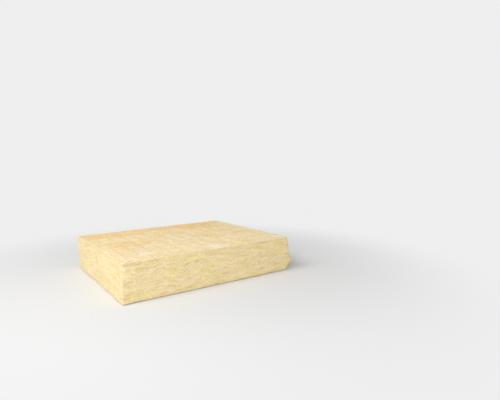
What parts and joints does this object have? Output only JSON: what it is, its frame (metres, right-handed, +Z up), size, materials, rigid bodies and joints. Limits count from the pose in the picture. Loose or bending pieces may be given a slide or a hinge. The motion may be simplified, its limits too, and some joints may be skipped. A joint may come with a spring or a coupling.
{
  "type": "mineral wool insulation board",
  "caption": "Semi-rigid mineral wool insulation board, cut across from a standard board, with pressed ribs on both broad faces and sawn fibrous sides.",
  "frame": {"origin": "centre of the underside, at the height of the rib crests that the board rests on", "axes": "+X along the 600 mm width, which is the long side of this piece and the direction of the ribs; +Y along the cut length, from the front side to the back; +Z up through the thickness"},
  "size_m": [0.6, 0.5, 0.12],
  "materials": {
    "mineral_wool": "matte felted fibres"
  },
  "bodies": {
    "root": {"wool_board": "mineral_wool"}
  },
  "joints": []
}
